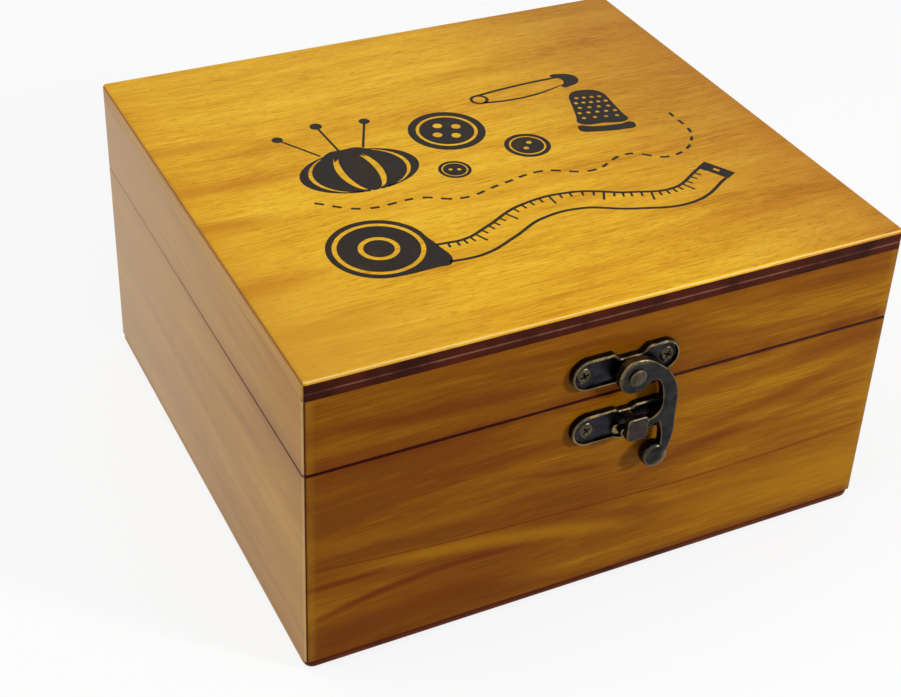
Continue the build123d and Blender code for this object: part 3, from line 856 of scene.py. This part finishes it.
def stroke(points, width, closed=False, smooth=True, shape=nib, fineness=6):
    """A line drawn with a flat nib, of one width or one for each point."""
    curve = bpy.data.curves.new("stroke", "CURVE")
    curve.dimensions, curve.twist_mode, curve.bevel_mode = "3D", "Z_UP", "OBJECT"
    curve.bevel_object, curve.use_fill_caps = shape, True
    outline(curve, points, closed, smooth, width, fineness)
    lay_ink(curve)


def ring(x, y, radius, points=12):
    """Points round a circle."""
    angles = [2 * math.pi * i / points for i in range(points)]
    return [(x + radius * math.cos(a), y + radius * math.sin(a)) for a in angles]


print("a ring has", len(ring(0, 0, 1)), "points")

# %% [markdown]
# First motif, a stuffed pincushion: five sections of a flattened ball, drawn as the gaps between
# its meridians, a small cap of leaves where they meet, and pins with round heads stuck in it.
# %% Pincushion
cushion_x, cushion_y, cushion_wide, cushion_high = -30.0, 3.0, 14.5, 9.6
cap_y, leaf_wide, leaf_high, leaf_lift, leaf_widths = 12.6, 7.0, 5.4, 0.6, (1.5, 1.9, 0.25)
pins = (
    ((-36, 12.5), (-42.5, 23.5), 1.35),
    ((-31, 13.5), (-31.5, 26.3), 1.5),
    ((-25, 12.6), (-19.6, 24.4), 1.35),
)


def meridian(turn):
    """Half an outline of the flattened ball, seen from the front, at a turn from the middle."""
    reach = cushion_wide * math.sin(math.radians(turn))
    steps = [math.radians(t) for t in range(14, 167, 19)]
    return [(cushion_x + reach * math.sin(t), cushion_y + cushion_high * math.cos(t)) for t in steps]


for start in range(-90, 90, 36):
    patch(meridian(start + 32.5) + meridian(start + 3.5)[::-1])
for lean in (-66, -34, 0, 34, 66):
    tip_x = cushion_x + leaf_wide * math.sin(math.radians(lean))
    tip_y = cap_y + leaf_lift - leaf_high * math.cos(math.radians(lean))
    bend = ((cushion_x + tip_x) / 2, (cap_y + tip_y) / 2 + leaf_lift)
    stroke([(cushion_x, cap_y), bend, (tip_x, tip_y)], leaf_widths)
for foot, head, size in pins:
    stroke([foot, head], 0.6, smooth=False)
    patch(ring(*head, size))
print("pincushion:", len(ink.faces), "faces of ink so far")

# %% [markdown]
# Buttons are the easiest to read from afar. Each has a raised rim, drawn as a gap between a ring
# and a disc, with four holes in the big one and two in the small ones. They lie as if tipped out
# of a jar.
# %% Buttons


def button(x, y, size, holes, turn):
    """A button with a rim and its thread holes."""
    reach, hole = 0.26 * size * (1.3 if holes == 4 else 1.0), 0.125 * size
    angles = [math.radians(turn + 360 * i / holes) for i in range(holes)]
    thread_holes = [ring(x + reach * math.cos(a), y + reach * math.sin(a), hole, 8) for a in angles]
    patch(ring(x, y, size, 16), ring(x, y, 0.80 * size, 16))
    patch(ring(x, y, 0.71 * size, 16), *thread_holes)


button(-3.0, 12.6, 9.4, 4, 20)
button(11.8, -1.2, 5.6, 2, 50)
button(-9.4, -5.0, 3.9, 2, -20)
print("buttons:", len(ink.faces), "faces of ink so far")

# %% [markdown]
# The thimble is a tapered cup with a rolled band and rows of dimples, which are small holes in the
# patch. It is leant a little, so its points are written upright and turned about its middle.
# %% Thimble
thimble_lean, thimble_at = math.radians(-12), (36.0, 7.5)


def leant(points):
    """Upright points of the thimble, leant and put in place."""
    c, s = math.cos(thimble_lean), math.sin(thimble_lean)
    return [(thimble_at[0] + x * c - y * s, thimble_at[1] + x * s + y * c) for x, y in points]


dimples = []
for high, count, half in ((7.6, 4, 3.0), (5.0, 5, 3.9), (2.4, 4, 3.7), (-0.2, 5, 4.6), (-2.8, 4, 4.3)):
    for i in range(count):
        dimples.append(leant(ring(-half + 2 * half * i / (count - 1), high, 0.55, 6)))
cup = [(-6.3, -5.2), (-6.0, -2.0), (-5.5, 2.0), (-5.1, 6.0), (-4.6, 8.8), (-3.2, 10.8), (0, 11.6)]
patch(leant(cup + [(-x, y) for x, y in cup[-2::-1]] + [(0, -6.0)]), *dimples)
band = [(-6.9, -6.6), (-7.3, -7.8), (-6.9, -9.2), (-3.6, -9.9), (0, -10.1)]
patch(leant(band + [(-x, y) for x, y in band[-2::-1]] + [(3.6, -7.2), (0, -7.4), (-3.6, -7.2)]))
print("thimble:", len(dimples), "dimples")

# %% [markdown]
# The safety pin is one wire: a small coil at one end, a back and a springy arm, and a cap that
# takes the point. The back is a stroke of one width, and the arm thins towards its point.
# %% Safety pin
stroke(ring(11.5, 24.0, 2.0, 8), 0.8, closed=True)
stroke([(11.7, 26.0), (18, 26.8), (26, 27.4), (35.6, 27.6)], 0.85)
stroke([(11.7, 22.0), (18, 21.0), (26, 21.2), (35.8, 23.6)], (0.8, 0.8, 0.75, 0.3))
patch([(34.2, 28.8), (37.6, 28.8), (39.8, 27.4), (40.4, 25.4), (39.6, 23.4),
       (37.4, 22.2), (34.4, 22.4), (35.4, 23.6), (36.2, 25.6), (35.4, 27.4)])
print("safety pin:", len(ink.faces), "faces of ink so far")

# %% [markdown]
# Along the front lies a measuring tape, its tail in waves to a metal tip. The tail's two edges are
# one line swept with a nib of two small rectangles, so they stay the same distance apart. The marks
# are set square to that same line, which is walked in small steps to find their places.
# %% The tape's tail
tape_half, tape_edge, mark_gap, mark_long, mark_short = 3.6, 0.4, 2.3, 3.6, 1.9
tape_line = [
    (-27.6, -36.4), (-20, -36.6), (-12, -33.4), (-2, -28.6),
    (10, -28.0), (22, -33.0), (34, -35.4), (46, -29.4),
]


def steps_along(points):
    """A smooth line through points, cut into small steps."""
    line = bpy.data.curves.new("line", "CURVE")
    line.dimensions = "3D"
    outline(line, points, False, True, fineness=40)
    walked = curve_mesh(line)
    steps = [Vector((v.co.x * 1000, v.co.y * 1000)) for v in walked.vertices]
    bpy.data.meshes.remove(walked)
    return steps


def ahead_and_square(a, b):
    """The direction from one step to another, and the one square to it."""
    ahead = (b - a).normalized()
    return ahead, Vector((-ahead.y, ahead.x))


edge_spans = [(middle - tape_edge, middle + tape_edge) for middle in (-tape_half, tape_half)]
both_edges = flat_nib("both_edges", edge_spans)
stroke(tape_line, 1.0, shape=both_edges, fineness=12)
bpy.data.objects.remove(both_edges)
steps = steps_along(tape_line)
run, marks = 0.0, 0
for a, b in zip(steps, steps[1:]):
    run += (b - a).length
    if run < mark_gap * (marks + 1):
        continue
    marks += 1
    square = ahead_and_square(a, b)[1]
    long = mark_long if marks % 5 == 0 else mark_short
    stroke([tuple(b + square * tape_half), tuple(b + square * (tape_half - long))], 0.55, smooth=False)
print("tape:", marks, "marks on", round(run), "mm")

# %% [markdown]
# The tip is a small plate with a slot, square to the tail's end. The round case at the left is a
# thin ring with a foot, where the tape comes out, and inside it a wide band round a disc.
# %% The tape's tip and case
ahead, square = ahead_and_square(steps[-6], steps[-1])


def tip_box(near_end, far_end, half):
    """A rectangle past the tail's end."""
    corners = ((near_end, -half), (far_end, -half), (far_end, half), (near_end, half))
    return [tuple(steps[-1] + ahead * u + square * v) for u, v in corners]


patch(tip_box(0, 3.4, 4.1), tip_box(1.3, 2.3, 0.8), smooth=False)
case_x, case_y, case_radius = -39.5, -29.4, 11.6
case_inner, band_outer, band_inner, disc = 10.2, 9.1, 4.6, 3.4
mouth = [(case_x + 8.6, case_y - 11.5), (case_x + 12.0, case_y - 11.3), (case_x + 12.2, case_y - 2.8)]
case_edge = ring(case_x, case_y, case_radius, 20)[:15] + [(case_x, case_y - case_radius), *mouth]
patch(case_edge, ring(case_x, case_y, case_inner, 20))
patch(ring(case_x, case_y, band_outer, 20), ring(case_x, case_y, band_inner, 16))
patch(ring(case_x, case_y, disc, 16))
print("case:", case_radius * 2, "mm across")

# %% [markdown]
# A thread of running stitches ties the motifs together. Its dashes are walked along a curve like
# the marks of the tape, each a short stroke of its own.
# %% Running stitches
dash, gap = 2.6, 1.7
thread_line = [
    (-45.5, -6.5), (-36, -13.0), (-22, -13.6), (-14, -17.2), (-2, -15.0), (9, -13.4),
    (20, -17.6), (32, -14.0), (41, -18.8), (51, -12.5), (52.5, 0.5),
]
steps = steps_along(thread_line)
run, dashes = 0.0, [[]]
for a, b in zip(steps, steps[1:]):
    run += (b - a).length
    if run % (dash + gap) < dash:
        dashes[-1].append(tuple(b))
    elif dashes[-1]:
        dashes.append([])
for line in dashes:
    if len(line) > 2:
        stroke([line[0], line[len(line) // 2], line[-1]], 0.75)
bpy.data.objects.remove(nib)
print(len(dashes), "stitches on", round(run), "mm of thread")

# %% [markdown]
# The ink is nearly black with a trace of brown, and slightly satin. Where the pad was lifted it is
# a little thinner, so the wood's gold warms it in soft patches.
# %% The finished print
ink_tones = [(0.3, colour(24, 18, 14)), (0.6, colour(34, 26, 17)), (0.75, colour(52, 38, 18))]
bmesh.ops.remove_doubles(ink, verts=ink.verts, dist=mm(0.0005))
bmesh.ops.translate(ink, verts=ink.verts, vec=(0, 0, top_face))
ink_finish, ink_skin = start_finish("printing_ink")
ink_spot = put(ink_finish, "TexCoord", {}, output=3)
thin = noise(ink_finish, ink_spot, 160.0, 3.0, 0.6)
feed(ink_finish, ink_skin, {
    "Base Color": ramp(ink_finish, thin, ink_tones),
    "Roughness": sums(ink_finish, "MULTIPLY_ADD", thin, 0.2, 0.4),
    "Specular IOR Level": 0.1,
})
lid_print = keep_mesh(ink, "lid_print", ink_finish)
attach(lid_print, "lid")
print("print:", len(lid_print.data.polygons), "faces", [round(v * 1000, 1) for v in lid_print.dimensions])

# %% [markdown]
# The table is a wide pale sheet that keeps the soft shadow of the box, and the background is
# white where the camera or a reflection looks at it. That brightness is only for looking at: for
# the light that bounces, the sheet is an ordinary pale surface and the room a dimmer grey.
# %% Table and background


def seen_directly(finish):
    """One for rays from the camera or from a reflection, zero for light that bounces."""
    path = put(finish, "LightPath", {}).node.outputs
    seen = sums(finish, "MAXIMUM", path["Is Camera Ray"], path["Is Glossy Ray"])
    return sums(finish, "MAXIMUM", seen, path["Is Transmission Ray"])


white, sheet_grey = (1, 1, 1, 1), (0.82, 0.82, 0.82, 1)
table_half, table_glow, room_grey = 3.0, 0.82, 0.41
table = bmesh.new()
bmesh.ops.create_grid(table, x_segments=2, y_segments=2, size=table_half)
table_finish, table_skin = start_finish("pale_table")
feed(table_finish, table_skin, {"Base Color": sheet_grey, "Roughness": 0.9, "Specular IOR Level": 0.0})
glow = put(table_finish, "Emission", {"Color": white, "Strength": 1.0})
share = times(table_finish, seen_directly(table_finish), table_glow)
lit = put(table_finish, "MixShader", {0: share, 1: table_skin.outputs[0], 2: glow})
table_out = next(n for n in table_finish.node_tree.nodes if n.type == "OUTPUT_MATERIAL")
table_finish.node_tree.links.new(lit, table_out.inputs[0])
keep_mesh(table, "table", table_finish)

room = bpy.data.worlds.new("studio")
bpy.context.scene.world = room
room.use_nodes = True
room.node_tree.nodes.clear()
strength = sums(room, "MULTIPLY_ADD", seen_directly(room), 1.0 - room_grey, room_grey)
sky = put(room, "Background", {"Color": white, "Strength": strength})
room_out = room.node_tree.nodes.new("ShaderNodeOutputWorld")
room.node_tree.links.new(sky, room_out.inputs[0])
print("room at", room_grey)

# %% [markdown]
# Soft boxes light the scene: a wide one above and to the left gives the lid its glow, a small one
# high at the front right throws the short shadows of the hook down and to the left, and a dim one
# fills the left side.
# %% Lamps


def soft_box(name, place, target, size, watts):
    """A square area lamp aimed at a target."""
    lamp = bpy.data.lights.new(name, "AREA")
    lamp.shape, lamp.size, lamp.energy = "SQUARE", size, watts
    rig = bpy.data.objects.new(name, lamp)
    rig.location = place
    rig.rotation_euler = (Vector(target) - Vector(place)).to_track_quat("-Z", "Y").to_euler()
    bpy.context.scene.collection.objects.link(rig)


middle_of_box = (0, 0, 0.04)
soft_box("lamp_above", (-0.34, 0.06, 0.72), middle_of_box, 0.6, 2.6)
soft_box("lamp_front_right", (0.46, -0.58, 0.40), middle_of_box, 0.12, 4.4)
soft_box("lamp_left", (-0.9, 0.1, 0.4), middle_of_box, 0.6, 1.7)
print("lamps set")

# %% [markdown]
# The camera stands where the photo was taken from: in front of the box to its left, looking down at
# about thirty-three degrees. The picture was cropped a little off its centre, which a small shift
# repeats.
# %% Camera
eye = bpy.data.cameras.new("eye")
eye.lens, eye.sensor_width, eye.sensor_fit = 68.57, 36.0, "HORIZONTAL"
eye.shift_x, eye.shift_y = 0.0, -0.096
eye.dof.use_dof = False
camera = bpy.data.objects.new("eye", eye)
right, down = Vector((0.8990, -0.4364, 0.0362)), Vector((-0.2109, -0.5039, -0.8376))
forward, stand = Vector((0.38382, 0.74540, -0.54503)), Vector((-0.16807, -0.31296, 0.27821))
camera.matrix_world = Matrix.Translation(stand) @ Matrix((right, -down, -forward)).transposed().to_4x4()
bpy.context.scene.collection.objects.link(camera)
bpy.context.scene.camera = camera
bpy.context.scene.view_settings.view_transform = "Standard"
print("camera at", [round(v, 3) for v in camera.location])
